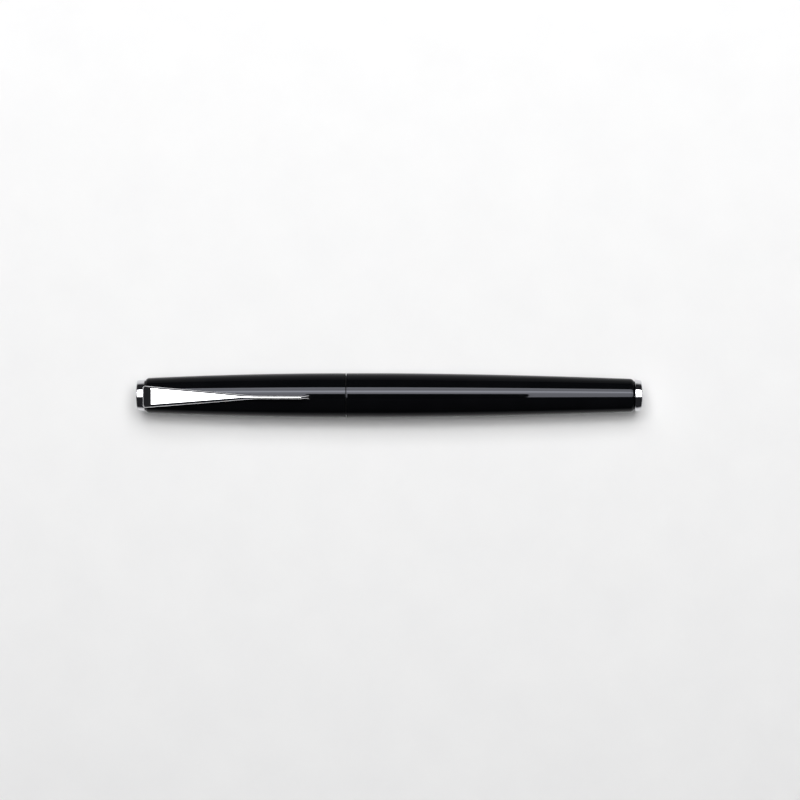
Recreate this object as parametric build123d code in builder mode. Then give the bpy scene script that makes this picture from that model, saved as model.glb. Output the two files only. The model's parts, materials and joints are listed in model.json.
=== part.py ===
from build123d import *
import os

os.makedirs("parts", exist_ok=True)

# A capped fountain pen, lying along X with its cap towards -X and its clip on top.
# Stations run along the pen from the cap's outer end, radii and heights from its axis, all in mm.

# ---- driving dimensions ----
LENGTH = 140.0
LAND_R = 6.15                # largest radius, and so the axis height above the resting surface
SEAM = 58.0                  # station where cap and barrel meet
SEAM_GAP = 0.16
CAP_END = 2.2                # station of the cap's closed end
CAP_END_R = 4.78
BARREL_END = 138.0           # station of the barrel's closed end
BARREL_END_R = 4.56
LAND_END = 66.0              # the barrel is a true cylinder up to here
END_ROUND = 1.2              # of the lacquered ends, beside the finials
EDGE_ROUND = 0.15            # of the two mouths
FINIAL_R = 4.4               # at its inner end
FINIAL_END_R = 4.23          # at its outer end
STUD_R = 1.5                 # finial studs
GRIP_START = 35.0
GRIP_END = 56.4
NIB_START = 13.0
NIB_R = 3.15                 # outside of the nib's rolled plate
NIB_THICK = 0.28
THREAD_LEAD = 1.0            # barrel thread, one start
ROD_LEAD = 4.0               # piston screw, two starts
ROD_R = 1.5
ROD_FLAT = 1.2               # half the distance across the rod's flats
RUN = 0.05                   # radial running clearance
SEAT = 0.02                  # clearance of seated and pressed pieces

SIDE = Plane(origin=(-LENGTH / 2, 0, LAND_R), x_dir=(1, 0, 0), z_dir=(0, -1, 0))
PEN_AXIS = Axis((0, 0, LAND_R), (1, 0, 0))


def across(station):
    """The plane square to the pen at a station: local x is +Y and local y is +Z."""
    return Plane(origin=(station - LENGTH / 2, 0, LAND_R), x_dir=(0, 1, 0), z_dir=(1, 0, 0))


def level(height):
    """The horizontal plane at a height over the axis: local x is the station and local y is +Y."""
    return Plane(origin=(-LENGTH / 2, 0, LAND_R + height), x_dir=(1, 0, 0), z_dir=(0, 0, 1))


def outline(*points):
    """A straight-sided face in the side view, from (station, height) points."""
    with BuildSketch(SIDE) as face:
        with BuildLine():
            Polyline(*points, close=True)
        make_face()
    return face.sketch


def ring(start, end, inner, outer):
    """The half section of a plain tube between two stations."""
    return outline((start, inner), (end, inner), (end, outer), (start, outer))


def thread_ridge(start, end, lead, root_r, crest_r, root_width, crest_width, turn=0):
    """One right-hand helical ridge from root_r to crest_r, outwards or inwards.

    Its foot is sunk a little past root_r, so that it joins the wall it stands on.
    """
    sunk_r = root_r - 0.1 if crest_r > root_r else root_r + 0.1
    centre = (start - LENGTH / 2, 0, LAND_R)
    helix = Helix(lead, end - start, root_r, center=centre, direction=(1, 0, 0)).rotate(PEN_AXIS, turn)
    foot = helix @ 0
    profile_plane = Plane(origin=foot, x_dir=foot - Vector(*centre), z_dir=helix % 0)
    with BuildPart() as ridge:
        with BuildSketch(profile_plane):
            with BuildLine():
                Polyline(
                    (sunk_r - root_r, -root_width / 2),
                    (crest_r - root_r, -crest_width / 2),
                    (crest_r - root_r, crest_width / 2),
                    (sunk_r - root_r, root_width / 2),
                    close=True,
                )
            make_face()
        sweep(path=helix, is_frenet=True)
    return ridge.part


# ---- cap ----
CAP_MOUTH = SEAM - SEAM_GAP / 2
CAP_BORE_R = 5.45            # at the mouth
BLOCK_R = 4.05
BLOCK_START = 3.1            # inner face of the cap's end wall
BLOCK_END = 9.5
LINER_END = 34.9
SNAP_START = 54.3            # groove of the snap ring
SNAP_END = 55.7
SNAP_GROOVE_R = 5.75
EAR_HALF = 0.8
SLOT_HALF = 1.0
SLOT_START = 3.25
SLOT_END = 6.05


def cap_surface(station):
    """Outside radius of the cap: a long parabola that is level at its mouth."""
    drop = (LAND_R - CAP_END_R) / (CAP_MOUTH - CAP_END) ** 2
    return LAND_R - drop * (CAP_MOUTH - station) ** 2


with BuildPart() as cap_shell:
    with BuildSketch(SIDE):
        with BuildLine():
            Bezier((CAP_MOUTH, LAND_R), ((CAP_MOUTH + CAP_END) / 2, LAND_R), (CAP_END, CAP_END_R))
            Polyline(
                (CAP_END, CAP_END_R),
                (CAP_END, STUD_R + RUN),
                (BLOCK_START, STUD_R + RUN),
                (BLOCK_START, BLOCK_R + SEAT),
                (BLOCK_END, BLOCK_R + SEAT),
                (BLOCK_END, 4.3),
                (GRIP_START, 5.1),
                (44.0, CAP_BORE_R),
                (SNAP_START, CAP_BORE_R),
                (SNAP_START, SNAP_GROOVE_R),
                (SNAP_END, SNAP_GROOVE_R),
                (SNAP_END, CAP_BORE_R),
                (CAP_MOUTH, CAP_BORE_R),
                (CAP_MOUTH, LAND_R),
            )
        make_face()
    revolve(axis=PEN_AXIS)
    end_edge = cap_shell.edges().filter_by(GeomType.CIRCLE).group_by(Axis.X)[0].sort_by(Edge.radius)[-1]
    fillet(end_edge, radius=END_ROUND)
    mouth_edge = cap_shell.edges().filter_by(GeomType.CIRCLE).group_by(Axis.X)[-1]
    fillet(mouth_edge, radius=EDGE_ROUND)
    with BuildSketch(level(0)):
        with Locations(((SLOT_START + SLOT_END) / 2, 0)):
            Rectangle(SLOT_END - SLOT_START, 2 * SLOT_HALF)
    extrude(amount=LAND_R, mode=Mode.SUBTRACT)
cap_shell.part.label = "cap_shell"
export_step(cap_shell.part, "parts/cap_shell.step")

with BuildPart() as cap_finial:
    revolve(outline((0, 0), (CAP_END, 0), (CAP_END, FINIAL_R), (0, FINIAL_END_R)), axis=PEN_AXIS)
    rims = cap_finial.edges().filter_by(GeomType.CIRCLE).sort_by(Axis.X)
    fillet(rims[0], radius=0.3)
    fillet(rims[-1], radius=EDGE_ROUND)
    revolve(ring(CAP_END - 0.5, 5.4, 0, STUD_R), axis=PEN_AXIS)
    chamfer(cap_finial.edges().filter_by(GeomType.CIRCLE).sort_by(Axis.X)[-1], length=0.3)
cap_finial.part.label = "cap_finial"
export_step(cap_finial.part, "parts/cap_finial.step")

# Clip mechanism: an ear on the clip goes through the cap into a block and turns on a cross pin.
# A coil spring between the block's roof and the ear's tail presses the clip's tip on the cap.
PIN_STATION = 4.6
PIN_HEIGHT = 2.8
PIN_R = 0.5
SPRING_STATION = 7.6
SPRING_FLOOR = 1.6           # top of the ear's tail
SPRING_ROOF = 3.5
SPRING_R = 0.7               # of the coil's centre line
SPRING_WIRE_R = 0.14

with BuildPart() as clip_block:
    revolve(ring(BLOCK_START, BLOCK_END, 0, BLOCK_R), axis=PEN_AXIS)
    chamfer(clip_block.edges().filter_by(GeomType.CIRCLE).sort_by(Axis.X)[-1], length=0.25)
    revolve(ring(BLOCK_START, 5.5, 0, STUD_R + SEAT), axis=PEN_AXIS, mode=Mode.SUBTRACT)
    ear_slot = outline(
        (3.2, BLOCK_R + 1),
        (3.2, 1.7),
        (5.6, 1.7),
        (5.6, 0.5),
        (9.0, 0.5),
        (9.0, 2.1),
        (6.45, 2.1),
        (6.45, BLOCK_R + 1),
    )
    extrude(ear_slot, amount=EAR_HALF + RUN, both=True, mode=Mode.SUBTRACT)
    with BuildSketch(level(SPRING_ROOF)):
        with Locations((SPRING_STATION, 0)):
            Circle(SPRING_R + SPRING_WIRE_R + 0.1)
    extrude(amount=0.6 - SPRING_ROOF, mode=Mode.SUBTRACT)
    with BuildSketch(SIDE):
        with Locations((PIN_STATION, PIN_HEIGHT)):
            Circle(PIN_R + SEAT)
    extrude(amount=LAND_R, both=True, mode=Mode.SUBTRACT)
clip_block.part.label = "clip_block"
export_step(clip_block.part, "parts/clip_block.step")

with BuildPart() as clip_pin:
    with BuildSketch(SIDE):
        with Locations((PIN_STATION, PIN_HEIGHT)):
            Circle(PIN_R)
    extrude(amount=2.6, both=True)
    chamfer(clip_pin.edges().filter_by(GeomType.CIRCLE), length=0.1)
clip_pin.part.label = "clip_pin"
export_step(clip_pin.part, "parts/clip_pin.step")

with BuildPart() as clip_spring:
    spring_rise = SPRING_ROOF - SPRING_FLOOR - 2 * SPRING_WIRE_R - 0.04
    spring_foot = (SPRING_STATION - LENGTH / 2, 0, LAND_R + SPRING_FLOOR + SPRING_WIRE_R + 0.02)
    with BuildLine():
        coil = Helix(spring_rise / 4, spring_rise, SPRING_R, center=spring_foot)
    with BuildSketch(Plane(origin=coil @ 0, z_dir=coil % 0)):
        Circle(SPRING_WIRE_R)
    sweep(path=coil, is_frenet=True)
clip_spring.part.label = "clip_spring"
export_step(clip_spring.part, "parts/clip_spring.step")

# The clip is a flat-topped blade: broad over the cap's end, and a narrow deep fin at its tip.
CLIP_HEAD = 1.88
CLIP_TIP = 47.95
HEAD_HALF = 3.03
HEAD_CORNER = 0.8
HEAD_FRONT = 4.82            # height of the rolled head's front edge
HEAD_ROLL_START = 4.9        # the flat top runs between these two stations
TIP_ROLL_START = 43.0
FLAT_START_HEIGHT = 6.35
FLAT_END_HEIGHT = 8.63
TAPER_END = 27.0
TAPER_END_HALF = 1.03
NECK_START = 35.0
NECK_HALF = 0.58
TIP_HALF = 0.53
PAD_STATION = 46.2           # the underside bears on the cap here
CLIP_EDGE_ROUND = 0.45
TOP_SLOPE = (FLAT_END_HEIGHT - FLAT_START_HEIGHT) / (TIP_ROLL_START - HEAD_ROLL_START)
CLIP_FACE = Plane(
    origin=(CLIP_HEAD - LENGTH / 2, 0, LAND_R + FLAT_START_HEIGHT - (HEAD_ROLL_START - CLIP_HEAD) * TOP_SLOPE),
    x_dir=(1, 0, TOP_SLOPE),
    z_dir=(-TOP_SLOPE, 0, 1),
)


def above_cap(station, gap):
    """The point at a gap over the cap's surface, in the side view."""
    return (station, cap_surface(station) + gap)


with BuildPart() as pocket_clip:
    with BuildSketch(CLIP_FACE):
        with BuildLine():
            run_out = CLIP_TIP - CLIP_HEAD + 1.0
            Line((0, 0), (0, HEAD_HALF - HEAD_CORNER))
            RadiusArc((0, HEAD_HALF - HEAD_CORNER), (HEAD_CORNER, HEAD_HALF), HEAD_CORNER)
            taper = Line((HEAD_CORNER, HEAD_HALF), (TAPER_END - CLIP_HEAD, TAPER_END_HALF))
            TangentArc(taper @ 1, (NECK_START - CLIP_HEAD, NECK_HALF), tangent=taper % 1)
            Line((NECK_START - CLIP_HEAD, NECK_HALF), (run_out, TIP_HALF))
            Line((run_out, TIP_HALF), (run_out, 0))
            mirror(about=Plane.XZ)
        make_face()
    extrude(amount=LAND_R, dir=(0, 0, -1))
    face_edges = pocket_clip.faces().sort_by(Axis.Z)[-1].edges()
    fillet(face_edges.filter_by(lambda edge: edge.length > 5), radius=CLIP_EDGE_ROUND)
    with BuildSketch(SIDE):
        with BuildLine():
            top = Line((TIP_ROLL_START, FLAT_END_HEIGHT), (HEAD_ROLL_START, FLAT_START_HEIGHT))
            TangentArc(top @ 1, (CLIP_HEAD, HEAD_FRONT), tangent=top % 1)
            Polyline((CLIP_HEAD, HEAD_FRONT), (CLIP_HEAD, HEAD_FRONT - 0.14), (2.6, 4.85), above_cap(3.2, 0.31))
            ThreePointArc(above_cap(3.2, 0.31), above_cap(24.0, 0.33), above_cap(44.6, 0.16))
            ThreePointArc(above_cap(44.6, 0.16), above_cap(PAD_STATION, SEAT), above_cap(47.5, 0.12))
            Polyline(above_cap(47.5, 0.12), (CLIP_TIP, 6.6), (CLIP_TIP, 7.0))
            Bezier((CLIP_TIP, 7.0), (47.2, 8.35), (44.6, FLAT_END_HEIGHT + 1.6 * TOP_SLOPE), top @ 0)
        make_face()
    extrude(amount=LAND_R, both=True, mode=Mode.INTERSECT)
    ear = outline(
        (3.7, 5.6),
        (3.7, 2.6),
        (4.4, 1.85),
        (5.75, 1.85),
        (5.95, 0.85),
        (8.5, 0.85),
        (8.5, 1.6),
        (6.5, 1.6),
        (5.6, 2.9),
        (5.6, 5.6),
    )
    extrude(ear, amount=EAR_HALF, both=True)
    with BuildSketch(SIDE):
        with Locations((PIN_STATION, PIN_HEIGHT)):
            Circle(PIN_R + RUN)
    extrude(amount=LAND_R, both=True, mode=Mode.SUBTRACT)
pocket_clip.part.label = "pocket_clip"
export_step(pocket_clip.part, "parts/pocket_clip.step")

with BuildPart() as cap_liner:
    liner = outline(
        (BLOCK_END + 0.1, 0),
        (BLOCK_END + 0.1, 4.25),
        (30.0, 4.25),
        (31.0, 4.94),
        (LINER_END - 0.3, 5.05),
        (LINER_END, 4.8),
        (LINER_END, 3.8),
        (LINER_END - 0.3, 3.65),
        (BLOCK_END + 0.8, 3.65),
        (BLOCK_END + 0.8, 0),
    )
    revolve(liner, axis=PEN_AXIS)
cap_liner.part.label = "cap_liner"
export_step(cap_liner.part, "parts/cap_liner.step")

with BuildPart() as cap_snap_ring:
    revolve(ring(SNAP_START + 0.1, SNAP_END - 0.1, 5.3, SNAP_GROOVE_R - 0.03), axis=PEN_AXIS)
    fillet(cap_snap_ring.edges().filter_by(GeomType.CIRCLE), radius=0.1)
    with BuildSketch(across(SNAP_START)):
        with Locations((0, -5.5)):
            Rectangle(1.6, 2.0)
    extrude(amount=2.0, mode=Mode.SUBTRACT)
cap_snap_ring.part.label = "cap_snap_ring"
export_step(cap_snap_ring.part, "parts/cap_snap_ring.step")

# ---- grip section ----
SECTION_BORE_R = 3.4
COUPLING_START = 50.1
COUPLING_END = 66.0
COUPLING_BORE_R = 3.75
MALE_ROOT_R = 4.45
MALE_CREST_R = 4.9
TRIM_R = CAP_BORE_R - 0.07
TRIM_END = 57.6              # the gasket lies between here and the barrel's bush, under the seam
FEED_R = NIB_R - NIB_THICK - SEAT
NIB_SHOULDER = 26.0          # the nib's plate narrows in front of here
NIB_TIP_R = 2.2              # height of the nib's back line at its tip
NIB_END = 47.0
COLLAR_START = 36.2
COLLAR_WALL_END = 49.4
NIPPLE_R = 2.0
NIPPLE_END = 56.0

with BuildPart() as grip_section:
    with BuildSketch(SIDE):
        with BuildLine():
            Line((GRIP_START, SECTION_BORE_R), (GRIP_START, 4.05))
            ThreePointArc((GRIP_START, 4.05), (35.35, 4.4), (36.2, 4.45))
            Spline((36.2, 4.45), (40.0, 4.2), (53.0, 5.12), tangents=[(1, -0.02), (1, 0.03)])
            Polyline(
                (53.0, 5.12),
                (53.4, 5.27),
                (53.9, 5.27),
                (54.2, 5.15),
                (GRIP_END, 5.15),
                (GRIP_END, 4.3),
                (COUPLING_START - 0.1, 4.3),
                (COUPLING_START - 0.1, SECTION_BORE_R),
                (GRIP_START, SECTION_BORE_R),
            )
        make_face()
    revolve(axis=PEN_AXIS)
grip_section.part.label = "grip_section"
export_step(grip_section.part, "parts/grip_section.step")

with BuildPart() as trim_ring:
    revolve(ring(GRIP_END, TRIM_END, MALE_ROOT_R + SEAT, TRIM_R), axis=PEN_AXIS)
    fillet(trim_ring.edges().filter_by(GeomType.CIRCLE).group_by(Edge.radius)[-1], radius=0.12)
trim_ring.part.label = "trim_ring"
export_step(trim_ring.part, "parts/trim_ring.step")

with BuildPart() as section_coupling:
    tube = outline(
        (COUPLING_START, COUPLING_BORE_R),
        (COUPLING_END, COUPLING_BORE_R),
        (COUPLING_END, MALE_ROOT_R - 0.2),
        (COUPLING_END - 0.2, MALE_ROOT_R),
        (GRIP_END, MALE_ROOT_R),
        (GRIP_END, 4.3 - SEAT),
        (COUPLING_START, 4.3 - SEAT),
    )
    revolve(tube, axis=PEN_AXIS)
    add(thread_ridge(58.9, 65.4, THREAD_LEAD, MALE_ROOT_R, MALE_CREST_R, 0.5, 0.2))
section_coupling.part.label = "section_coupling"
export_step(section_coupling.part, "parts/section_coupling.step")

with BuildPart() as feed_collar:
    housing = outline(
        (COLLAR_START, NIB_R + SEAT),
        (COLLAR_WALL_END - 0.9, NIB_R + SEAT),
        (COLLAR_WALL_END - 0.9, 1.15),
        (NIPPLE_END, 1.15),
        (NIPPLE_END, 1.6),
        (NIPPLE_END - 0.8, NIPPLE_R),
        (COLLAR_WALL_END, NIPPLE_R),
        (COLLAR_WALL_END, SECTION_BORE_R - SEAT),
        (COLLAR_START, SECTION_BORE_R - SEAT),
    )
    revolve(housing, axis=PEN_AXIS)
feed_collar.part.label = "feed_collar"
export_step(feed_collar.part, "parts/feed_collar.step")

# The nib is a plate rolled to a cylinder that closes to a cone in front of its shoulder.
with BuildPart() as nib:
    plate = outline(
        (NIB_START, NIB_TIP_R - NIB_THICK),
        (NIB_SHOULDER, NIB_R - NIB_THICK),
        (NIB_END, NIB_R - NIB_THICK),
        (NIB_END, NIB_R),
        (NIB_SHOULDER, NIB_R),
        (NIB_START, NIB_TIP_R),
    )
    revolve(plate, axis=PEN_AXIS)
    with BuildSketch(level(0.6)):
        with BuildLine():
            Line((NIB_START, 0), (NIB_START, 0.22))
            Spline(
                (NIB_START, 0.22),
                (19.0, 1.25),
                (25.5, 2.95),
                (30.0, 3.3),
                tangents=[(1, 0.12), (1, 0)],
            )
            Line((30.0, 3.3), (NIB_END, 3.3))
            Line((NIB_END, 3.3), (NIB_END, 0))
            mirror(about=Plane.XZ)
        make_face()
    extrude(amount=LAND_R, mode=Mode.INTERSECT)
    with BuildSketch(level(0)):
        with Locations((18.6, 0)):
            Rectangle(2 * (18.6 - NIB_START) + 0.6, 0.1)
        with Locations((24.6, 0)):
            Circle(0.55)
    extrude(amount=LAND_R, mode=Mode.SUBTRACT)
nib.part.label = "nib"
export_step(nib.part, "parts/nib.step")

with BuildPart() as nib_tipping:
    with BuildSketch(SIDE):
        with Locations((NIB_START - 0.34, NIB_TIP_R - NIB_THICK / 2)):
            Circle(0.34)
        with Locations((NIB_START - 0.34, NIB_TIP_R - NIB_THICK / 2 - 0.5)):
            Rectangle(2, 1, mode=Mode.SUBTRACT)
    revolve(axis=Axis((-LENGTH / 2, 0, LAND_R + NIB_TIP_R - NIB_THICK / 2), (1, 0, 0)))
nib_tipping.part.label = "nib_tipping"
export_step(nib_tipping.part, "parts/nib_tipping.step")

FIN_COUNT = 9
FIN_PITCH = 1.1
with BuildPart() as feed:
    feed_round = outline(
        (NIB_START + 2.5, 0),
        (NIB_START + 2.5, NIB_TIP_R - NIB_THICK - SEAT + 0.18),
        (NIB_SHOULDER, FEED_R),
        (48.4, FEED_R),
        (48.4, 1.13),
        (54.0, 1.13),
        (54.0, 0),
    )
    revolve(feed_round, axis=PEN_AXIS)
    belly = outline((15.4, 1.1), (21.0, -0.6), (29.0, -2.9), (55.0, -2.9), (55.0, 2.9), (15.4, 2.9))
    extrude(belly, amount=LAND_R, both=True, mode=Mode.INTERSECT)
    with BuildSketch(level(1.7)):
        with Locations((34.0, 0)):
            Rectangle(42.0, 0.4)
    extrude(amount=2.0, mode=Mode.SUBTRACT)
    for fin in range(FIN_COUNT):
        groove_start = 24.2 + fin * FIN_PITCH
        revolve(ring(groove_start, groove_start + 0.5, 1.5, 3.5), axis=PEN_AXIS, mode=Mode.SUBTRACT)
feed.part.label = "feed"
export_step(feed.part, "parts/feed.step")

# ---- barrel ----
BARREL_MOUTH = SEAM + SEAM_GAP / 2
BUSH_START = 58.4
BUSH_END = 67.0
BUSH_R = 5.5
FEMALE_ROOT_R = 5.0
FEMALE_CREST_R = 4.55
PLUG_START = 131.5
PLUG_END = 135.3
PLUG_R = 3.75

with BuildPart() as barrel_shell:
    with BuildSketch(SIDE):
        with BuildLine():
            land = Line((BARREL_MOUTH, LAND_R), (LAND_END, LAND_R))
            Bezier(land @ 1, (94.0, LAND_R), (127.0, 5.0), (BARREL_END, BARREL_END_R))
            Polyline(
                (BARREL_END, BARREL_END_R),
                (BARREL_END, STUD_R + RUN),
                (PLUG_END, STUD_R + RUN),
                (PLUG_END, PLUG_R + SEAT),
                (131.0, PLUG_R + SEAT),
                (110.0, 4.75),
                (85.0, 5.2),
                (BUSH_END + 0.1, 5.25),
                (BUSH_END + 0.1, BUSH_R + SEAT),
                (BARREL_MOUTH, BUSH_R + SEAT),
                (BARREL_MOUTH, LAND_R),
            )
        make_face()
    revolve(axis=PEN_AXIS)
    end_edge = barrel_shell.edges().filter_by(GeomType.CIRCLE).group_by(Axis.X)[-1].sort_by(Edge.radius)[-1]
    fillet(end_edge, radius=END_ROUND)
    mouth_edge = barrel_shell.edges().filter_by(GeomType.CIRCLE).group_by(Axis.X)[0].sort_by(Edge.radius)[-1]
    fillet(mouth_edge, radius=EDGE_ROUND)
barrel_shell.part.label = "barrel_shell"
export_step(barrel_shell.part, "parts/barrel_shell.step")

with BuildPart() as barrel_thread_bush:
    revolve(ring(BUSH_START, BUSH_END, FEMALE_ROOT_R, BUSH_R), axis=PEN_AXIS)
    add(thread_ridge(59.4, 66.4, THREAD_LEAD, FEMALE_ROOT_R, FEMALE_CREST_R, 0.5, 0.2))
barrel_thread_bush.part.label = "barrel_thread_bush"
export_step(barrel_thread_bush.part, "parts/barrel_thread_bush.step")

with BuildPart() as barrel_gasket:
    revolve(ring(TRIM_END + 0.06, BUSH_START - 0.06, MALE_CREST_R + RUN, TRIM_R), axis=PEN_AXIS)
barrel_gasket.part.label = "barrel_gasket"
export_step(barrel_gasket.part, "parts/barrel_gasket.step")

with BuildPart() as barrel_end_plug:
    revolve(ring(PLUG_START, PLUG_END, STUD_R + SEAT, PLUG_R), axis=PEN_AXIS)
    chamfer(barrel_end_plug.edges().filter_by(GeomType.CIRCLE).group_by(Axis.X)[0], length=0.3)
barrel_end_plug.part.label = "barrel_end_plug"
export_step(barrel_end_plug.part, "parts/barrel_end_plug.step")

with BuildPart() as barrel_finial:
    disc = outline((BARREL_END, 0), (LENGTH, 0), (LENGTH, FINIAL_END_R), (BARREL_END, FINIAL_R))
    revolve(disc, axis=PEN_AXIS)
    rims = barrel_finial.edges().filter_by(GeomType.CIRCLE).sort_by(Axis.X)
    fillet(rims[-1], radius=0.45)
    fillet(rims[0], radius=EDGE_ROUND)
    revolve(ring(PLUG_START + 0.2, BARREL_END + 0.5, 0, STUD_R), axis=PEN_AXIS)
    chamfer(barrel_finial.edges().filter_by(GeomType.CIRCLE).sort_by(Axis.X)[0], length=0.3)
barrel_finial.part.label = "barrel_finial"
export_step(barrel_finial.part, "parts/barrel_finial.step")

# ---- converter ----
TUBE_START = 50.5
CHAMBER_START = 56.5
CHAMBER_R = 2.95
TUBE_R = 3.55
TUBE_END = 87.0
BAND_START = 84.0
BAND_END = 99.5
BAND_R = 3.8
KNOB_START = 91.5
KNOB_END = 120.0
NUT_END = 97.5
GUIDE_START = 85.0
GUIDE_END = 91.3

with BuildPart() as converter_tube:
    tube = outline(
        (TUBE_START, NIPPLE_R + RUN),
        (NIPPLE_END + 0.2, NIPPLE_R + RUN),
        (CHAMBER_START + 0.4, CHAMBER_R),
        (TUBE_END, CHAMBER_R),
        (TUBE_END, TUBE_R),
        (CHAMBER_START + 0.6, TUBE_R),
        (CHAMBER_START - 0.2, 3.2),
        (TUBE_START + 0.3, 3.1),
        (TUBE_START, 2.8),
    )
    revolve(tube, axis=PEN_AXIS)
converter_tube.part.label = "converter_tube"
export_step(converter_tube.part, "parts/converter_tube.step")

with BuildPart() as converter_collar:
    guide = outline(
        (GUIDE_START, 0),
        (GUIDE_START, CHAMBER_R - SEAT),
        (TUBE_END, CHAMBER_R - SEAT),
        (TUBE_END, TUBE_R),
        (GUIDE_END, TUBE_R),
        (GUIDE_END, 0),
    )
    revolve(guide, axis=PEN_AXIS)
    with BuildSketch(across(GUIDE_START)):
        Circle(ROD_R + RUN)
        Rectangle(2 * (ROD_FLAT + RUN), 4 * ROD_R, mode=Mode.INTERSECT)
    extrude(amount=GUIDE_END - GUIDE_START, mode=Mode.SUBTRACT)
converter_collar.part.label = "converter_collar"
export_step(converter_collar.part, "parts/converter_collar.step")

with BuildPart() as converter_band:
    revolve(ring(BAND_START, BAND_END, TUBE_R + SEAT, BAND_R), axis=PEN_AXIS)
    fillet(converter_band.edges().filter_by(GeomType.CIRCLE).group_by(Edge.radius)[-1], radius=0.12)
    for bead_station in (87.5, 90.5):
        revolve(ring(bead_station, bead_station + 0.5, BAND_R - 0.08, BAND_R + 1), axis=PEN_AXIS, mode=Mode.SUBTRACT)
converter_band.part.label = "converter_band"
export_step(converter_band.part, "parts/converter_band.step")

GRIP_GROOVES = 24
with BuildPart() as converter_knob:
    knob_round = outline(
        (KNOB_START, 2.62),
        (NUT_END + 0.05, 2.62),
        (NUT_END + 0.05, 2.3),
        (118.6, 2.3),
        (118.6, 2.9),
        (KNOB_END - 0.4, 2.9),
        (KNOB_END - 0.4, 3.3),
        (118.4, BAND_R),
        (BAND_END + 0.2, BAND_R),
        (BAND_END + 0.2, TUBE_R - RUN),
        (KNOB_START, TUBE_R - RUN),
    )
    revolve(knob_round, axis=PEN_AXIS)
    with BuildSketch(across(101.5)):
        with PolarLocations(BAND_R + 0.08, GRIP_GROOVES):
            Circle(0.2)
    extrude(amount=15.0, mode=Mode.SUBTRACT)
converter_knob.part.label = "converter_knob"
export_step(converter_knob.part, "parts/converter_knob.step")

with BuildPart() as knob_nut:
    revolve(ring(KNOB_START + 0.1, NUT_END, ROD_R + 0.1, 2.6), axis=PEN_AXIS)
    for turn in (0, 180):
        add(thread_ridge(92.0, 96.8, ROD_LEAD, ROD_R + 0.1, 1.15, 0.7, 0.3, turn))
knob_nut.part.label = "knob_nut"
export_step(knob_nut.part, "parts/knob_nut.step")

with BuildPart() as knob_end_cap:
    revolve(ring(118.65, KNOB_END, 0, 2.9 - SEAT), axis=PEN_AXIS)
    fillet(knob_end_cap.edges().filter_by(GeomType.CIRCLE).sort_by(Axis.X)[-1], radius=0.4)
knob_end_cap.part.label = "knob_end_cap"
export_step(knob_end_cap.part, "parts/knob_end_cap.step")

# The piston is drawn back, with the converter full.
HEAD_START = 78.0
HEAD_END = 83.6
ROD_START = 81.0
ROD_END = 117.5
ROD_CORE_R = 1.05

with BuildPart() as piston_rod:
    revolve(ring(ROD_START, ROD_END, 0, ROD_CORE_R), axis=PEN_AXIS)
    for turn in (0, 180):
        add(thread_ridge(85.0, 117.0, ROD_LEAD, ROD_CORE_R, ROD_R, 1.0, 0.5, turn))
    with BuildSketch(across(ROD_START)):
        Rectangle(2 * ROD_FLAT, 4 * ROD_R)
    extrude(amount=ROD_END - ROD_START, mode=Mode.INTERSECT)
piston_rod.part.label = "piston_rod"
export_step(piston_rod.part, "parts/piston_rod.step")

SEAL_STATIONS = (79.0, 81.9)
SEAL_WIDTH = 0.8
with BuildPart() as piston_head:
    revolve(ring(HEAD_START, HEAD_END, 0, 2.8), axis=PEN_AXIS)
    chamfer(piston_head.edges().filter_by(GeomType.CIRCLE), length=0.2)
    revolve(ring(ROD_START, HEAD_END, 0, ROD_CORE_R + SEAT), axis=PEN_AXIS, mode=Mode.SUBTRACT)
    for station in SEAL_STATIONS:
        revolve(ring(station, station + SEAL_WIDTH, 2.3, 3.0), axis=PEN_AXIS, mode=Mode.SUBTRACT)
piston_head.part.label = "piston_head"
export_step(piston_head.part, "parts/piston_head.step")

with BuildPart() as piston_seals:
    for station in SEAL_STATIONS:
        revolve(ring(station + SEAT, station + SEAL_WIDTH - SEAT, 2.3 + SEAT, CHAMBER_R - 0.03), axis=PEN_AXIS)
    fillet(piston_seals.edges().filter_by(GeomType.CIRCLE).group_by(Edge.radius)[-1], radius=0.25)
piston_seals.part.label = "piston_seals"
export_step(piston_seals.part, "parts/piston_seals.step")
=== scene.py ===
import json
import math

import bmesh
import bpy
from mathutils import Matrix, Vector

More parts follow.
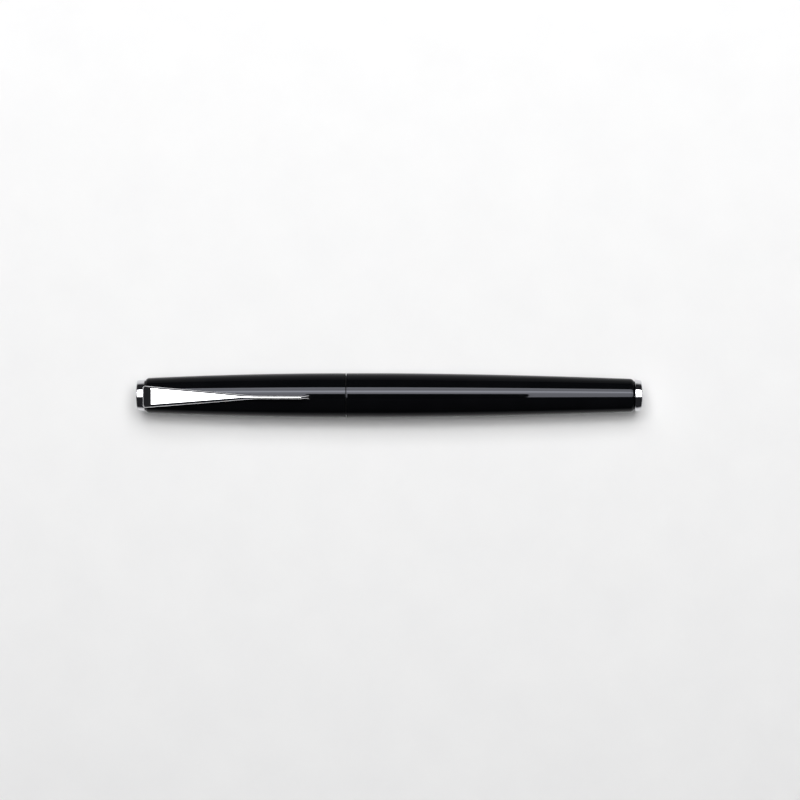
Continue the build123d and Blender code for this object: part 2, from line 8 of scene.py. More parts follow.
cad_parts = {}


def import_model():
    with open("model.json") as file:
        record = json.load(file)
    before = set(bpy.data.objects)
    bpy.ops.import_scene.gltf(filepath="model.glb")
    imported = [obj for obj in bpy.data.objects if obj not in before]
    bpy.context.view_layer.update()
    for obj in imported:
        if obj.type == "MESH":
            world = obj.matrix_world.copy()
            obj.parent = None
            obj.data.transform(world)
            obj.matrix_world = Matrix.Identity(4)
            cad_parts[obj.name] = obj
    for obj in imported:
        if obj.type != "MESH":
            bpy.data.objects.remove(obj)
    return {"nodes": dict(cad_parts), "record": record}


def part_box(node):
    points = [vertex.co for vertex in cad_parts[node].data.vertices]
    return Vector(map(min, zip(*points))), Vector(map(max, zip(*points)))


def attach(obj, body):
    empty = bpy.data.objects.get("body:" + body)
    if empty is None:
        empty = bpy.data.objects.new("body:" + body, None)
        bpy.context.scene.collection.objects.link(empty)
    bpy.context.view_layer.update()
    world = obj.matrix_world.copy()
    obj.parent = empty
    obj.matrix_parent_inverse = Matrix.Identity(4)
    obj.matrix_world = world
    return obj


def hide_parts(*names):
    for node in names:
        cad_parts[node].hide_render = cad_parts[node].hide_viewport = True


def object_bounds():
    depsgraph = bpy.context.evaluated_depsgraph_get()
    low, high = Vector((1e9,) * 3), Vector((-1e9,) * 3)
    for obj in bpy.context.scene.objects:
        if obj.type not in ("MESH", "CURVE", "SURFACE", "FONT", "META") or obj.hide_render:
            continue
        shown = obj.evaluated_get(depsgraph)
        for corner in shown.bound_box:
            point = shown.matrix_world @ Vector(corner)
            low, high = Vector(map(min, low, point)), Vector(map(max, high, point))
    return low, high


# A capped fountain pen, closed, seen from above on a pale sheet under one large overhead soft light.
# Lengths in the helpers are millimetres: stations run along the pen from the cap's outer end,
# and radii and heights are taken from its axis. Meshes are made in metres, in the CAD frame.

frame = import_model()
cad_low, cad_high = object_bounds()
nodes = frame["nodes"]
MM = 0.001


def station_of(x):
    return (x - cad_low.x) / MM


shell_low, shell_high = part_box("barrel_shell")
cap_low, cap_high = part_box("cap_shell")
finial_low, finial_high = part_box("cap_finial")
clip_low, clip_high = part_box("pocket_clip")

AXIS_Z = (shell_low.z + shell_high.z) / 2
LAND_R = (shell_high.z - shell_low.z) / 2 / MM
LENGTH = station_of(cad_high.x)
CAP_END = station_of(cap_low.x)
CAP_MOUTH = station_of(cap_high.x)
BARREL_MOUTH = station_of(shell_low.x)
BARREL_END = station_of(shell_high.x)
FINIAL_R = (finial_high.z - finial_low.z) / 2 / MM
CLIP_HEAD = station_of(clip_low.x)
CLIP_TIP = station_of(clip_high.x)
CLIP_TOP = (clip_high.z - AXIS_Z) / MM
HEAD_HALF = (clip_high.y - clip_low.y) / 2 / MM

# Figures that the boxes of the nodes don't give.
CAP_END_R = 4.78
BARREL_END_R = 4.56
LAND_END = 66.0
END_ROUND = 1.2
EDGE_ROUND = 0.08
FINIAL_END_R = 4.23
STUD_R = 1.5
STUD_BORE_R = STUD_R + 0.05
CAP_BORE_R = 5.45
RING_GROOVE_R = 5.75          # holds the snap ring
CLIP_BLOCK_BORE_R = 4.07
BUSH_BORE_R = 5.52            # holds the threaded bush
PLUG_BORE_R = 3.77            # holds the end plug
FINIAL_BACK_ROUND = 0.15      # a finial's edge where it meets the lacquer
AROUND = 192                  # corners of a full turn


def place(station, y, height):
    """A point in metres from its station, its offset across the pen and its height over the axis."""
    return Vector((cad_low.x + station * MM, y * MM, AXIS_Z + height * MM))


# ---------------------------------------------------------------- materials
def node_of(tree, kind, **values):
    """A new shader node, with its settings."""
    made = tree.nodes.new(kind)
    for name, value in values.items():
        setattr(made, name, value)
    return made


def noise(tree, scale, stretch=(1, 1, 1), detail=3.0):
    """A noise texture fixed to the piece, in object coordinates, optionally stretched along an axis."""
    where = node_of(tree, "ShaderNodeTexCoord")
    fit = node_of(tree, "ShaderNodeMapping")
    fit.inputs["Scale"].default_value = stretch
    made = node_of(tree, "ShaderNodeTexNoise")
    made.inputs["Scale"].default_value = scale
    made.inputs["Detail"].default_value = detail
    tree.links.new(where.outputs["Object"], fit.inputs["Vector"])
    tree.links.new(fit.outputs["Vector"], made.inputs["Vector"])
    return made.outputs["Fac"]


def grey_ramp(tree, stops, peak=1.0):
    """A colour ramp through grey stops of (position, level), scaled so that peak is white."""
    made = node_of(tree, "ShaderNodeValToRGB")
    while len(made.color_ramp.elements) < len(stops):
        made.color_ramp.elements.new(0.5)
    for element, (position, level) in zip(made.color_ramp.elements, stops):
        element.position = position
        element.color = (level / peak, level / peak, level / peak, 1)
    return made


def spread(tree, source, low, high):
    """Maps a noise value's middle range onto low..high."""
    made = node_of(tree, "ShaderNodeMapRange")
    made.inputs["From Min"].default_value = 0.3
    made.inputs["From Max"].default_value = 0.7
    made.inputs["To Min"].default_value = low
    made.inputs["To Max"].default_value = high
    tree.links.new(source, made.inputs["Value"])
    return made.outputs["Result"]


def material(name, colours, roughness, metallic=0.0, ior=1.5, grain=(900, (1, 1, 1)),
             scratches=None, bump=0.02, transmission=0.0):
    """A procedural finish: two close colours mixed by a broad noise, and a fine noise, even or drawn out
    into scratches, that varies the roughness and gives a shallow relief."""
    made = bpy.data.materials.new(name)
    made.use_nodes = True
    tree = made.node_tree
    shader = tree.nodes["Principled BSDF"]
    shader.inputs["Metallic"].default_value = metallic
    shader.inputs["IOR"].default_value = ior
    shader.inputs["Transmission Weight"].default_value = transmission
    mix = node_of(tree, "ShaderNodeMix", data_type="RGBA")
    mix.inputs["A"].default_value = (*colours[0], 1)
    mix.inputs["B"].default_value = (*colours[1], 1)
    tree.links.new(spread(tree, noise(tree, grain[0] * 0.2), 0, 1), mix.inputs["Factor"])
    tree.links.new(mix.outputs["Result"], shader.inputs["Base Color"])
    if scratches:
        fine = noise(tree, *scratches, detail=6.0)
    else:
        fine = noise(tree, *grain)
    tree.links.new(spread(tree, fine, *roughness), shader.inputs["Roughness"])
    relief = node_of(tree, "ShaderNodeBump")
    relief.inputs["Strength"].default_value = bump
    relief.inputs["Distance"].default_value = 0.00002
    tree.links.new(fine, relief.inputs["Height"])
    tree.links.new(relief.outputs["Normal"], shader.inputs["Normal"])
    return made


def soften_edges(made, level):
    """Lets a gloss fade to a lower level where the surface turns away, which keeps the pen's edges dark."""
    tree = made.node_tree
    facing = node_of(tree, "ShaderNodeLayerWeight")
    facing.inputs["Blend"].default_value = 0.5
    fade = node_of(tree, "ShaderNodeMapRange")
    fade.inputs["From Min"].default_value = 0.21
    fade.inputs["From Max"].default_value = 0.36
    fade.inputs["To Min"].default_value = 0.5
    fade.inputs["To Max"].default_value = level
    tree.links.new(facing.outputs["Facing"], fade.inputs["Value"])
    tree.links.new(fade.outputs["Result"], tree.nodes["Principled BSDF"].inputs["Specular IOR Level"])


ALONG = (0.04, 1, 1)          # stretched along the pen
ROUND = (1, 0.05, 0.05)       # rings round the pen, as turned metal has
LOOKS = {
    "black_lacquer": material("black_lacquer", ((0.0018, 0.002, 0.0024), (0.0026, 0.0028, 0.0034)),
                              (0.01, 0.03), ior=1.41, grain=(700, (1, 1, 1)), bump=0.02),
    "polished_metal": material("polished_metal", ((0.80, 0.80, 0.82), (0.72, 0.72, 0.75)), (0.03, 0.09),
                               metallic=1.0, scratches=(2600, ALONG), bump=0.05),
    "black_resin": material("black_resin", ((0.006, 0.006, 0.007), (0.010, 0.010, 0.011)), (0.10, 0.20),
                            bump=0.05),
    "black_plastic": material("black_plastic", ((0.012, 0.012, 0.013), (0.020, 0.020, 0.021)), (0.28, 0.42),
                              bump=0.15),
    "white_plastic": material("white_plastic", ((0.70, 0.70, 0.67), (0.62, 0.62, 0.60)), (0.30, 0.45),
                              bump=0.1),
    "clear_plastic": material("clear_plastic", ((0.93, 0.95, 0.97), (0.88, 0.91, 0.94)), (0.03, 0.08),
                              ior=1.49, transmission=1.0, bump=0.02),
    "nib_steel": material("nib_steel", ((0.76, 0.76, 0.78), (0.66, 0.66, 0.69)), (0.10, 0.20), metallic=1.0,
                          scratches=(3200, ALONG), bump=0.08),
    "tipping_alloy": material("tipping_alloy", ((0.58, 0.58, 0.60), (0.48, 0.48, 0.50)), (0.25, 0.4),
                              metallic=1.0),
    "spring_steel": material("spring_steel", ((0.52, 0.52, 0.55), (0.42, 0.42, 0.45)), (0.2, 0.35),
                             metallic=1.0, scratches=(3000, ROUND)),
    "pin_steel": material("pin_steel", ((0.60, 0.60, 0.62), (0.50, 0.50, 0.52)), (0.18, 0.3), metallic=1.0,
                          scratches=(3000, ROUND)),
    "brass": material("brass", ((0.80, 0.58, 0.24), (0.70, 0.48, 0.18)), (0.16, 0.30), metallic=1.0,
                      scratches=(3600, ROUND), bump=0.15),
    "seal_rubber": material("seal_rubber", ((0.012, 0.012, 0.013), (0.022, 0.022, 0.023)), (0.55, 0.75),
                            bump=0.3),
    "gasket_fibre": material("gasket_fibre", ((0.012, 0.011, 0.011), (0.020, 0.018, 0.018)), (0.5, 0.7),
                             bump=0.4),
}
lacquer = LOOKS["black_lacquer"]
lacquer.node_tree.nodes["Principled BSDF"].inputs["Specular Tint"].default_value = (0.86, 0.88, 1.0, 1)
soften_edges(lacquer, 0.1)


def dress(obj, slot):
    """Gives a piece the finish of a record slot."""
    obj.data.materials.clear()
    obj.data.materials.append(LOOKS[slot])


# ---------------------------------------------------------------- mesh helpers
def mesh_object(name, bm, slot, sharp=40):
    """A smooth-shaded piece from a bmesh, sharp where faces meet at over sharp degrees, in its finish."""
    bmesh.ops.recalc_face_normals(bm, faces=bm.faces)
    mesh = bpy.data.meshes.new(name)
    bm.to_mesh(mesh)
    bm.free()
    mesh.shade_smooth()
    mesh.set_sharp_from_angle(angle=math.radians(sharp))
    obj = bpy.data.objects.new(name, mesh)
    bpy.context.scene.collection.objects.link(obj)
    dress(obj, slot)
    return obj


def corner(centre, radius, start, end, count=10):
    """Points of an arc in the side view, with angles in degrees from +station towards +radius."""
    points = []
    for i in range(count + 1):
        angle = math.radians(start + (end - start) * i / count)
        points.append((centre[0] + radius * math.cos(angle), centre[1] + radius * math.sin(angle)))
    return points


def lathe(name, profile, slot, around=AROUND):
    """A closed outline of (station, radius) turned about the pen's axis."""
    bm = bmesh.new()
    rings = []
    for station, radius in profile:
        if radius < 1e-6:
            rings.append([bm.verts.new(place(station, 0, 0))])
            continue
        ring = []
        for k in range(around):
            angle = 2 * math.pi * k / around
            ring.append(bm.verts.new(place(station, radius * math.sin(angle), radius * math.cos(angle))))
        rings.append(ring)
    for here, there in zip(rings, rings[1:] + rings[:1]):
        if len(here) == 1 and len(there) == 1:
            continue
        for k in range(around):
            n = (k + 1) % around
            if len(here) == 1:
                bm.faces.new((here[0], there[k], there[n]))
            elif len(there) == 1:
                bm.faces.new((here[k], there[0], here[n]))
            else:
                bm.faces.new((here[k], there[k], there[n], here[n]))
    return mesh_object(name, bm, slot)


def cut(obj, bm):
    """Cuts a closed mesh out of a piece."""
    mesh = bpy.data.meshes.new("cutter")
    bm.to_mesh(mesh)
    bm.free()
    cutter = bpy.data.objects.new("cutter", mesh)
    bpy.context.scene.collection.objects.link(cutter)
    carve = obj.modifiers.new("carve", "BOOLEAN")
    carve.operation = "DIFFERENCE"
    carve.solver = "EXACT"
    carve.object = cutter
    graph = bpy.context.evaluated_depsgraph_get()
    carved = bpy.data.meshes.new_from_object(obj.evaluated_get(graph))
    obj.modifiers.remove(carve)
    bpy.data.objects.remove(cutter)
    obj.data = carved
    obj.data.set_sharp_from_angle(angle=math.radians(40))


def box_mesh(low, high):
    """A box between two corners in metres."""
    bm = bmesh.new()
    bmesh.ops.create_cube(bm, size=1.0)
    bm.transform(Matrix.Translation((low + high) / 2) @ Matrix.Diagonal((*(high - low), 1)))
    return bm


def prism(points, half):
    """A straight-sided outline in the side view, thickened by half to each side."""
    bm = bmesh.new()
    near = [bm.verts.new(place(station, -half, height)) for station, height in points]
    far = [bm.verts.new(place(station, half, height)) for station, height in points]
    bm.faces.new(near)
    bm.faces.new(list(reversed(far)))
    for k in range(len(points)):
        n = (k + 1) % len(points)
        bm.faces.new((near[k], far[k], far[n], near[n]))
    bmesh.ops.recalc_face_normals(bm, faces=bm.faces)
    return bm


# ---------------------------------------------------------------- cap and barrel
def cap_radius(station):
    """The cap's outside: a parabola that is level at its mouth."""
    drop = (LAND_R - CAP_END_R) / (CAP_MOUTH - CAP_END) ** 2
    return LAND_R - drop * (CAP_MOUTH - station) ** 2


def barrel_point(t):
    """The barrel's taper: a cubic Bezier from the end of its cylindrical land."""
    knots = ((LAND_END, LAND_R), (94.0, LAND_R), (127.0, 5.0), (BARREL_END, BARREL_END_R))
    weights = ((1 - t) ** 3, 3 * t * (1 - t) ** 2, 3 * t * t * (1 - t), t ** 3)
    return tuple(sum(w * k[i] for w, k in zip(weights, knots)) for i in (0, 1))


def cap_shell():
    """The cap's lacquered tube, with the slot for the clip's ear."""
    outside = [(CAP_END, STUD_BORE_R), (CAP_END, CAP_END_R - END_ROUND - 0.1)]
    outside += corner((CAP_END + END_ROUND, CAP_END_R - END_ROUND + 0.05), END_ROUND, 180, 93)
    start, stop, steps = CAP_END + END_ROUND + 0.4, CAP_MOUTH - 0.4, 60
    for i in range(steps + 1):
        station = start + (stop - start) * i / steps
        outside.append((station, cap_radius(station)))
    outside += corner((CAP_MOUTH - EDGE_ROUND, LAND_R - EDGE_ROUND), EDGE_ROUND, 90, 0, 6)
    inside = [(CAP_MOUTH, CAP_BORE_R + 0.15), (CAP_MOUTH - 0.15, CAP_BORE_R), (55.7, CAP_BORE_R),
              (55.7, RING_GROOVE_R), (54.3, RING_GROOVE_R), (54.3, CAP_BORE_R), (44.0, CAP_BORE_R),
              (35.0, 5.1), (9.5, 4.3), (9.5, CLIP_BLOCK_BORE_R), (3.1, CLIP_BLOCK_BORE_R),
              (3.1, STUD_BORE_R)]
    shell = lathe("cap_shell_lacquer", outside + inside, "black_lacquer")
    ear_slot = box_mesh(place(3.25, -1.0, 2.0), place(6.05, 1.0, 6.5))
    cut(shell, ear_slot)
    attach(shell, "cap")
    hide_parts("cap_shell")


def barrel_shell():
    """The barrel's lacquered tube."""
    inside = [(BARREL_END, STUD_BORE_R), (135.3, STUD_BORE_R), (135.3, PLUG_BORE_R),
              (131.0, PLUG_BORE_R), (110.0, 4.75), (85.0, 5.2), (67.1, 5.25), (67.1, BUSH_BORE_R),
              (BARREL_MOUTH + 0.05, BUSH_BORE_R), (BARREL_MOUTH, BUSH_BORE_R + 0.05)]
    outside = corner((BARREL_MOUTH + EDGE_ROUND, LAND_R - EDGE_ROUND), EDGE_ROUND, 180, 90, 6)
    outside += [(BARREL_MOUTH + 0.4 + i * 0.9, LAND_R) for i in range(8)]
    steps = 70
    taper = [barrel_point(i / steps) for i in range(steps + 1)]
    outside += [(station, radius) for station, radius in taper if station < BARREL_END - END_ROUND - 0.3]
    outside += corner((BARREL_END - END_ROUND, BARREL_END_R - END_ROUND + 0.04), END_ROUND, 87, 0)
    outside.append((BARREL_END, BARREL_END_R - END_ROUND - 0.1))
    shell = lathe("barrel_shell_lacquer", outside + inside, "black_lacquer")
    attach(shell, "barrel")
    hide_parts("barrel_shell")


def finial(name, node, body, outer, inner, rim, stud_end):
    """A polished disc, a little narrower at station outer than at inner, with a stud on to stud_end."""
    side = 1 if inner > outer else -1
    profile = [(outer, 0), (outer, FINIAL_END_R - rim - 0.3), (outer, FINIAL_END_R - rim - 0.02)]
    for i in range(1, 9):
        angle = math.radians(88 * i / 8)
        inset, drop = rim * (1 - math.cos(angle)), rim * (1 - math.sin(angle))
        profile.append((outer + side * inset, FINIAL_END_R - drop))
    profile.append((inner - side * (FINIAL_BACK_ROUND + 0.02), FINIAL_R))
    for i in range(1, 6):
        angle = math.radians(90 * i / 5)
        inset = FINIAL_BACK_ROUND * (1 - math.sin(angle))
        drop = FINIAL_BACK_ROUND * (1 - math.cos(angle))
        profile.append((inner - side * inset, FINIAL_R - drop))
    profile += [(inner, STUD_R), (stud_end - side * 0.3, STUD_R), (stud_end, STUD_R - 0.3), (stud_end, 0)]
    piece = lathe(name, profile, "polished_metal")
    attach(piece, body)
    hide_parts(node)


# ---------------------------------------------------------------- clip
TAPER_END = 27.0
TAPER_END_HALF = 1.03
NECK_START = 35.0
NECK_HALF = 0.58
TIP_HALF = 0.53
HEAD_CORNER = 0.8
HEAD_FRONT = 4.82
HEAD_ROLL_START = 4.9
FLAT_START_HEIGHT = 6.35
TOP_SLOPE = 2.28 / 38.1      # rise of the flat top along the pen
TIP_BREAK = 45.3             # here the flat top turns down into the tip's slanted face
TIP_BREAK_R = 0.6
TIP_SLANT = math.radians(44)
TIP_ROUND_START = 47.25
TIP_ROUND_DROP = 0.25
GAP_START = 24.0             # the gap over the cap narrows from here to the bump
GAP_WIDE = 0.33
GAP_NARROW = 0.16
BUMP_START = 44.6
BUMP_MIDDLE = 46.2           # here the bump bears on the cap
BUMP_GAP = 0.02
HEAD_UNDER = 4.85            # the head's underside, clear of the cap's rounded end
HEAD_UNDER_END = 3.0
EDGE_REACH = 0.82            # how far the round upper edges reach in from the sides
EDGE_DEEPER = 0.5            # and how much deeper than that they are along the fin
FIN_START = 22.0
FIN_FULL = 34.0
FOOT_ROUND = 0.15


def clip_half_width(station):
    """Half of the blade's width seen from above."""
    if station < CLIP_HEAD + HEAD_CORNER:
        inset = CLIP_HEAD + HEAD_CORNER - station
        return HEAD_HALF - HEAD_CORNER + math.sqrt(max(HEAD_CORNER ** 2 - inset ** 2, 0))
    slope = (TAPER_END_HALF - HEAD_HALF) / (TAPER_END - CLIP_HEAD - HEAD_CORNER)
    if station < TAPER_END:
        return HEAD_HALF + slope * (station - CLIP_HEAD - HEAD_CORNER)
    end_slope = (TIP_HALF - NECK_HALF) / (CLIP_TIP - NECK_START)
    if station < NECK_START:
        run, t = NECK_START - TAPER_END, (station - TAPER_END) / (NECK_START - TAPER_END)
        h00, h10 = 2 * t ** 3 - 3 * t ** 2 + 1, t ** 3 - 2 * t ** 2 + t
        h01, h11 = 3 * t ** 2 - 2 * t ** 3, t ** 3 - t ** 2
        return h00 * TAPER_END_HALF + h10 * run * slope + h01 * NECK_HALF + h11 * run * end_slope
    return NECK_HALF + end_slope * (station - NECK_START)


def clip_top(station):
    """Height of the blade's flat top, with the rolled head and the slanted face of the tip."""
    height = FLAT_START_HEIGHT + TOP_SLOPE * (station - HEAD_ROLL_START)
    if station < HEAD_ROLL_START:
        t = 1 - (station - CLIP_HEAD) / (HEAD_ROLL_START - CLIP_HEAD)
        drop = FLAT_START_HEIGHT - TOP_SLOPE * (HEAD_ROLL_START - CLIP_HEAD) - HEAD_FRONT
        height -= drop * (1 - math.sqrt(max(1 - t * t, 0)))
    run = station - TIP_BREAK
    turn_run = TIP_BREAK_R * math.sin(TIP_SLANT)
    if 0 < run < turn_run:
        height -= TIP_BREAK_R - math.sqrt(TIP_BREAK_R ** 2 - run ** 2)
    elif run > 0:
        height -= TIP_BREAK_R * (1 - math.cos(TIP_SLANT)) + (run - turn_run) * math.tan(TIP_SLANT)
    if station > TIP_ROUND_START:
        t = (station - TIP_ROUND_START) / (CLIP_TIP - TIP_ROUND_START)
        height -= TIP_ROUND_DROP * (1 - math.sqrt(max(1 - t * t, 0)))
    return min(height, CLIP_TOP)


def clip_under(station):
    """Height of the blade's underside: it follows the cap, and a bump near the tip bears on it."""
    surface = cap_radius(min(station, CAP_MOUTH))
    narrowing = max(0, (station - GAP_START) / (BUMP_START - GAP_START))
    gap = GAP_WIDE - (GAP_WIDE - GAP_NARROW) * narrowing
    if station > BUMP_START:
        off_middle = (station - BUMP_MIDDLE) / (BUMP_MIDDLE - BUMP_START)
        gap = BUMP_GAP + (GAP_NARROW - BUMP_GAP) * off_middle ** 2
    if station < HEAD_UNDER_END:
        return HEAD_UNDER + 0.27 * (station - CLIP_HEAD) / (HEAD_UNDER_END - CLIP_HEAD)
    return surface + gap


def clip_section(station, edge_steps=10):
    """Points round the blade at a station, from the middle of the underside up the +Y side and back.

    Its upper edges are round, and deeper than wide along the narrow fin.
    """
    half, top, under = clip_half_width(station), clip_top(station), clip_under(station)
    along_fin = min(1.0, max(0.0, (station - FIN_START) / (FIN_FULL - FIN_START)))
    edge = min(EDGE_REACH, half - 0.02)
    fall = min(EDGE_REACH + EDGE_DEEPER * along_fin, (top - under) * 0.8)
    foot = min(FOOT_ROUND, (top - under) * 0.2, half * 0.3)
    right = [(0, under), (half - foot - 0.02, under)]
    for i in range(5):
        angle = math.radians(-90 + 90 * i / 4)
        right.append((half - foot + foot * math.cos(angle), under + foot + foot * math.sin(angle)))
    for i in range(edge_steps + 1):
        angle = math.radians(90 * i / edge_steps)
        right.append((half - edge + edge * math.cos(angle), top - fall + fall * math.sin(angle)))
    right += [(half - edge - 0.02, top), ((half - edge) * 0.5, top)]
    left = [(-y, z) for y, z in reversed(right[1:])]
    return right + [(0, top)] + left


def eased(start, stop, count):
    """Stations from start to just short of stop, closer together towards start."""
    return [start + (stop - start) * (1 - math.cos(math.radians(90 * i / count))) for i in range(count)]


def pocket_clip():
    """The blade as a skin over its sections."""
    corner_end = CLIP_HEAD + HEAD_CORNER
    stations = eased(CLIP_HEAD, corner_end, 12)
    stations += [corner_end + (HEAD_ROLL_START - corner_end) * i / 12 for i in range(12)]
    stations += [HEAD_ROLL_START + (TIP_BREAK - HEAD_ROLL_START) * i / 80 for i in range(80)]
    stations += [TIP_BREAK + (TIP_ROUND_START - TIP_BREAK) * i / 20 for i in range(20)]
    stations += [CLIP_TIP + TIP_ROUND_START - s for s in reversed(eased(TIP_ROUND_START, CLIP_TIP, 12))]
    bm = bmesh.new()
    loops = []
    for station in stations:
        loops.append([bm.verts.new(place(station, y, z)) for y, z in clip_section(station)])
    count = len(loops[0])
    for here, there in zip(loops, loops[1:]):
        for k in range(count):
            n = (k + 1) % count
            bm.faces.new((here[k], there[k], there[n], here[n]))
    bm.faces.new(list(reversed(loops[0])))
    bm.faces.new(loops[-1])
    clip = mesh_object("pocket_clip_blade", bm, "polished_metal", sharp=50)
    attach(clip, "clip")
    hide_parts("pocket_clip")


EAR_OUTLINE = ((3.7, 5.6), (3.7, 2.6), (4.4, 1.85), (5.75, 1.85), (5.95, 0.85), (8.5, 0.85), (8.5, 1.6),
               (6.5, 1.6), (5.6, 2.9), (5.6, 5.6))
PIN_STATION = 4.6
PIN_HEIGHT = 2.8
PIN_HOLE_R = 0.55
EAR_HALF = 0.8


def clip_ear():
    """The ear below the clip's head, which turns on the cross pin inside the cap."""
    ear = mesh_object("pocket_clip_ear", prism(EAR_OUTLINE, EAR_HALF), "polished_metal")
    hole = [(PIN_STATION + y, PIN_HEIGHT + z) for y, z in corner((0, 0), PIN_HOLE_R, 0, 345, 23)]
    cut(ear, prism(hole, EAR_HALF + 0.4))
    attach(ear, "clip")
    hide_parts("pocket_clip")


cap_shell()
barrel_shell()
finial("cap_finial_disc", "cap_finial", "cap", 0.0, CAP_END, 0.3, 5.4)
finial("barrel_finial_disc", "barrel_finial", "barrel", LENGTH, BARREL_END, 0.45, 131.7)
pocket_clip()
clip_ear()

for row in frame["record"]["subparts"]:
    dress(nodes[row["node"]], row["material_slot"])

# ---------------------------------------------------------------- studio
TILT = math.radians(4.5)      # the pen is rolled by this much under the camera
VIEW_BACK = Vector((0, math.sin(TILT), math.cos(TILT)))
VIEW_UP = Vector((0, math.cos(TILT), -math.sin(TILT)))
VIEW_RIGHT = Vector((1, 0, 0))
CAMERA_DISTANCE = 0.8
CAMERA_RIGHT = 0.00294
CAMERA_UP = -0.0013
SENSOR_WIDTH = 36
FRAME_WIDTH = 0.2222          # seen at the pen's axis
pen_middle = Vector(((cad_low.x + cad_high.x) / 2, 0, AXIS_Z))


def studio_matrix(right, up, back):
    """An upright frame of the camera's own axes, offset from the middle of the pen."""
    turn = Matrix((VIEW_RIGHT, VIEW_UP, VIEW_BACK)).transposed().to_4x4()
    return Matrix.Translation(pen_middle + VIEW_RIGHT * right + VIEW_UP * up + VIEW_BACK * back) @ turn


def camera():
    """The camera, straight above the rolled pen."""
    lens = bpy.data.cameras.new("camera")
    lens.sensor_width = SENSOR_WIDTH
    lens.lens = SENSOR_WIDTH * CAMERA_DISTANCE / FRAME_WIDTH
    obj = bpy.data.objects.new("camera", lens)
    obj.matrix_world = studio_matrix(CAMERA_RIGHT, CAMERA_UP, CAMERA_DISTANCE)
    bpy.context.scene.collection.objects.link(obj)
    bpy.context.scene.camera = obj


def panel(name, right, up, back, size, shader_tree):
    """A flat rectangle facing the pen."""
    bm = bmesh.new()
    bmesh.ops.create_grid(bm, x_segments=1, y_segments=1, size=0.5)
    bm.transform(Matrix.Diagonal((size[0], size[1], 1, 1)))
    mesh = bpy.data.meshes.new(name)
    bm.to_mesh(mesh)
    bm.free()
    obj = bpy.data.objects.new(name, mesh)
    obj.matrix_world = studio_matrix(right, up, back)
    bpy.context.scene.collection.objects.link(obj)
    made = bpy.data.materials.new(name)
    made.use_nodes = True
    made.node_tree.nodes.clear()
    shader_tree(made.node_tree)
    mesh.materials.append(made)
    return obj


SOFTBOX_HEIGHT = 1.1
SOFTBOX_LOW = -0.214
SOFTBOX_HIGH = 0.97
SOFTBOX_WIDTH = 1.0
SIDE_RIGHT = 1.1
SIDE_WIDTH = 1.0
CARD_RIGHT = 0.026
CARD_UP = -0.07
CARD_BEHIND = 0.02
CARD_SIZE = (0.183, 0.35)
FLOOR_HALF = 0.8


def softbox_glow(tree):
    """Light with one bright line along the pen, and weaker, nearly even light on both sides of it."""
    where = node_of(tree, "ShaderNodeTexCoord")
    split = node_of(tree, "ShaderNodeSeparateXYZ")
    stops = ((0.0, 4.3), (0.23, 4.5), (0.35, 4.8), (0.43, 6.4), (0.49, 9.2), (0.525, 12.4), (0.555, 9.2),
             (0.605, 5.8), (0.67, 4.6), (0.735, 4.3), (0.84, 4.8), (0.945, 5.3), (1.0, 5.6))
    peak = max(level for _, level in stops)
    ramp = grey_ramp(tree, stops, peak)
    glow = node_of(tree, "ShaderNodeEmission")
    out = node_of(tree, "ShaderNodeOutputMaterial")
    glow.inputs["Strength"].default_value = peak
    tree.links.new(where.outputs["Generated"], split.inputs["Vector"])
    tree.links.new(split.outputs["Y"], ramp.inputs["Fac"])
    tree.links.new(ramp.outputs["Color"], glow.inputs["Color"])
    tree.links.new(glow.outputs["Emission"], out.inputs["Surface"])


def black_card(tree):
    """A card that is all but black."""
    shader = node_of(tree, "ShaderNodeBsdfDiffuse")
    shader.inputs["Color"].default_value = (0.004, 0.004, 0.004, 1)
    out = node_of(tree, "ShaderNodeOutputMaterial")
    tree.links.new(shader.outputs["BSDF"], out.inputs["Surface"])


def studio():
    """The overhead light, its far right end that shows only in reflections, and the card round the camera."""
    up = (SOFTBOX_LOW + SOFTBOX_HIGH) / 2
    depth = SOFTBOX_HIGH - SOFTBOX_LOW
    softbox = panel("softbox", 0, up, SOFTBOX_HEIGHT, (SOFTBOX_WIDTH, depth), softbox_glow)
    softbox.visible_camera = False
    card = panel("camera_shadow", CARD_RIGHT, CARD_UP, CAMERA_DISTANCE + CARD_BEHIND, CARD_SIZE, black_card)
    card.visible_camera = False
    side = panel("side_glow", SIDE_RIGHT, up, SOFTBOX_HEIGHT, (SIDE_WIDTH, depth), softbox_glow)
    side.visible_camera = False
    side.visible_diffuse = False


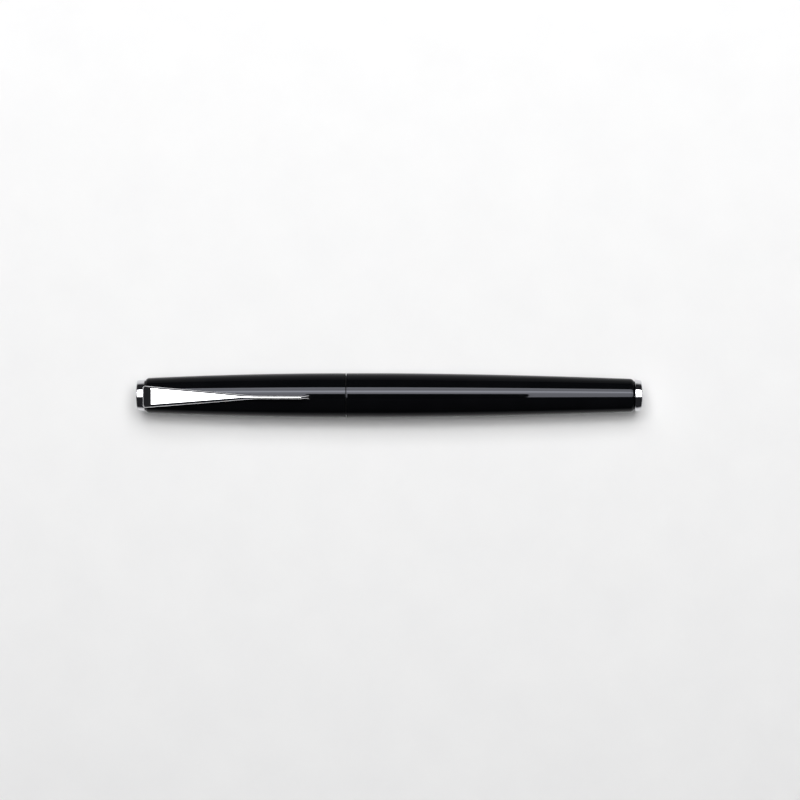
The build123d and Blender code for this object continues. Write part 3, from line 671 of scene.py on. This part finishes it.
def paint_shade_in_floor_reflections(paper):
    """Paints shade into the sheet's colour where it shows in reflections, darker the lower the reflection;
    the camera itself sees the sheet's plain colour.
    """
    tree = paper.node_tree
    shader = tree.nodes["Principled BSDF"]
    facing = node_of(tree, "ShaderNodeLayerWeight")
    facing.inputs["Blend"].default_value = 0.5
    # painted shade: how much of the sheet's colour each reflection keeps, less towards grazing
    stops = ((0.0, 1.0), (0.3, 0.95), (0.45, 0.85), (0.62, 0.8), (0.75, 0.62), (0.82, 0.25), (0.90, 0.08),
             (1.0, 0.03))
    ramp = grey_ramp(tree, stops)
    path = node_of(tree, "ShaderNodeLightPath")
    keep = node_of(tree, "ShaderNodeMix", data_type="RGBA")
    keep.inputs["B"].default_value = (1, 1, 1, 1)
    painted_shade = node_of(tree, "ShaderNodeMix", data_type="RGBA", blend_type="MULTIPLY")
    painted_shade.inputs["Factor"].default_value = 1.0
    colour = shader.inputs["Base Color"].links[0].from_socket
    tree.links.new(facing.outputs["Facing"], ramp.inputs["Fac"])
    tree.links.new(path.outputs["Is Camera Ray"], keep.inputs["Factor"])
    tree.links.new(ramp.outputs["Color"], keep.inputs["A"])
    tree.links.new(colour, painted_shade.inputs["A"])
    tree.links.new(keep.outputs["Result"], painted_shade.inputs["B"])
    tree.links.new(painted_shade.outputs["Result"], shader.inputs["Base Color"])


def floor():
    """The pale sheet that the pen lies on."""
    bm = bmesh.new()
    bmesh.ops.create_grid(bm, x_segments=8, y_segments=8, size=FLOOR_HALF)
    mesh = bpy.data.meshes.new("floor")
    bm.to_mesh(mesh)
    bm.free()
    obj = bpy.data.objects.new("floor", mesh)
    bpy.context.scene.collection.objects.link(obj)
    paper = material("paper", ((0.89, 0.89, 0.89), (0.87, 0.87, 0.872)), (0.7, 0.85), grain=(300, (1, 1, 1)),
                     bump=0.1)
    mesh.materials.append(paper)
    # painted shade: the sheet's colour is darker in reflections than it is to the camera
    paint_shade_in_floor_reflections(paper)


def world():
    """Dark surroundings, and a pale backdrop where the camera looks past the floor."""
    made = bpy.data.worlds.new("world")
    made.use_nodes = True
    tree = made.node_tree
    tree.nodes.clear()
    path = node_of(tree, "ShaderNodeLightPath")
    dark = node_of(tree, "ShaderNodeBackground")
    dark.inputs["Color"].default_value = (0.02, 0.02, 0.022, 1)
    pale = node_of(tree, "ShaderNodeBackground")
    pale.inputs["Color"].default_value = (0.88, 0.88, 0.885, 1)
    mix = node_of(tree, "ShaderNodeMixShader")
    out = node_of(tree, "ShaderNodeOutputWorld")
    tree.links.new(path.outputs["Is Camera Ray"], mix.inputs["Fac"])
    tree.links.new(dark.outputs["Background"], mix.inputs[1])
    tree.links.new(pale.outputs["Background"], mix.inputs[2])
    tree.links.new(mix.outputs["Shader"], out.inputs["Surface"])
    bpy.context.scene.world = made


camera()
studio()
floor()
world()
bpy.context.scene.view_settings.view_transform = "Standard"
